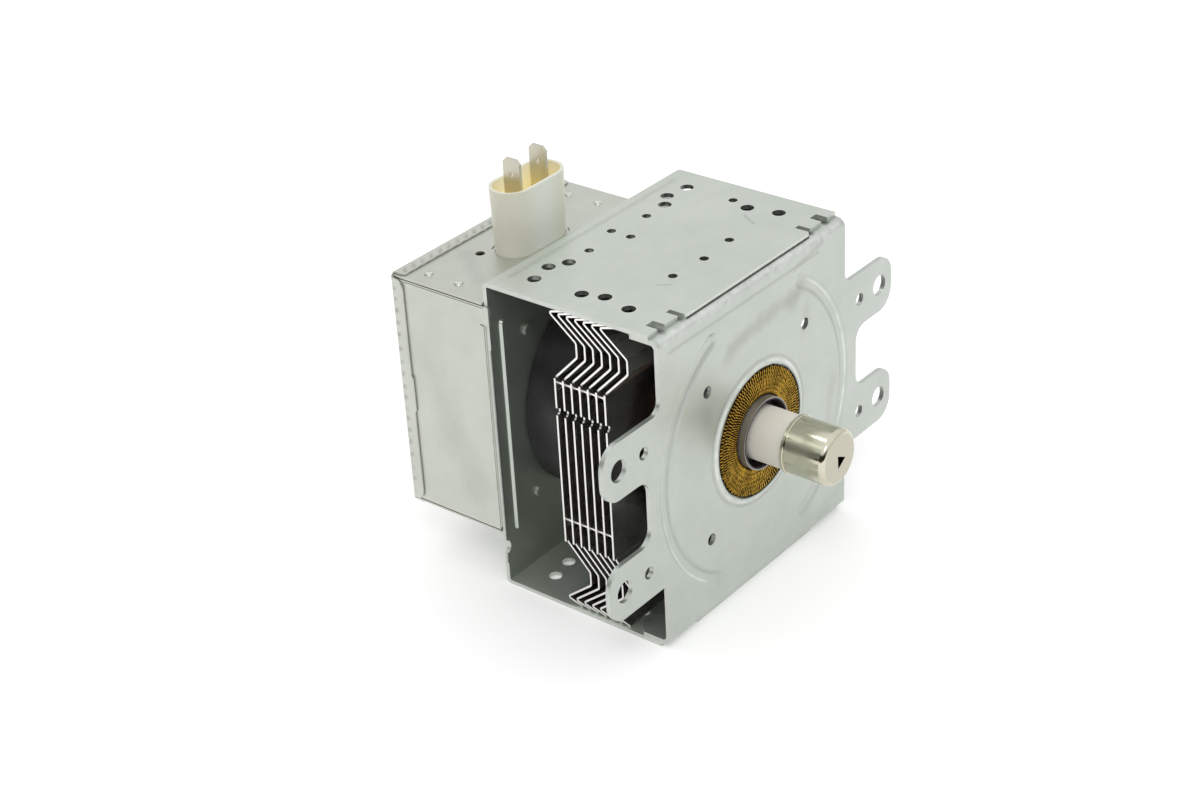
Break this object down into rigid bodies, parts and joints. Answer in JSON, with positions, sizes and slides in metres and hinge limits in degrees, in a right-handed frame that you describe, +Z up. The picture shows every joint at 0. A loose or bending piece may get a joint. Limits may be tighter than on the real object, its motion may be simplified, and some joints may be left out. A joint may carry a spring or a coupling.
{
  "type": "microwave oven magnetron",
  "caption": "Packaged magnetron: folded steel yoke with cooling fins and ring magnets, eared plate with antenna, and a filter box with a shrouded blade terminal.",
  "frame": {"origin": "on the tube's axis, in the mounting plate's front face: the centre of the four large ear holes", "axes": "-Y along the antenna, away from the tube; X across the ears; +Z up, the way the two blades point"},
  "size_m": [0.1188, 0.1042, 0.1031],
  "materials": {
    "yoke_steel": "zinc-plated, satin",
    "plate_steel": "zinc-plated, satin",
    "box_steel": "tin-plated, satin",
    "gasket_mesh": "knitted wire",
    "ferrite": "ground, dull",
    "copper": "oxygen-free copper, bare",
    "soft_iron": "pressed, bare",
    "fin_aluminium": "mill finish, bright",
    "seal_alloy": "drawn, bare",
    "alumina": "fired, matt",
    "cap_nickel": "nickel-plated, polished",
    "refractory": "sintered, grey",
    "blade_tin": "tin-plated",
    "shroud_plastic": "moulded, ivory",
    "capacitor_ceramic": "fired, matt",
    "choke_wire": "enamelled copper wire"
  },
  "bodies": {
    "root": {"yoke_frame": "yoke_steel", "mounting_plate": "plate_steel", "rf_gasket": "gasket_mesh", "front_magnet": "ferrite", "rear_magnet": "ferrite", "anode_cylinder": "copper", "anode_vanes": "copper", "strap_rings": "copper", "front_pole_piece": "soft_iron", "rear_pole_piece": "soft_iron", "output_seal_cup": "seal_alloy", "output_ceramic": "alumina", "exhaust_seal_cup": "seal_alloy", "exhaust_tube": "copper", "antenna_lead": "copper", "antenna_cap": "cap_nickel", "cathode_filament": "refractory", "output_end_hat": "refractory", "stem_end_hat": "refractory", "centre_lead": "refractory", "side_lead": "refractory", "stem_seal_cup": "seal_alloy", "stem_ceramic": "alumina", "stem_terminals": "blade_tin", "cooling_fin_1": "fin_aluminium", "cooling_fin_2": "fin_aluminium", "cooling_fin_3": "fin_aluminium", "cooling_fin_4": "fin_aluminium", "cooling_fin_5": "fin_aluminium", "cooling_fin_6": "fin_aluminium", "cooling_fin_7": "fin_aluminium", "filter_box": "box_steel", "filter_box_lid": "box_steel", "terminal_block": "shroud_plastic", "terminal_blade_left": "blade_tin", "terminal_blade_right": "blade_tin", "capacitor_flange": "box_steel", "capacitor_body": "capacitor_ceramic", "capacitor_bushing": "shroud_plastic", "choke_coil_left": "choke_wire", "choke_coil_right": "choke_wire", "choke_core_left": "ferrite", "choke_core_right": "ferrite"}
  },
  "joints": []
}
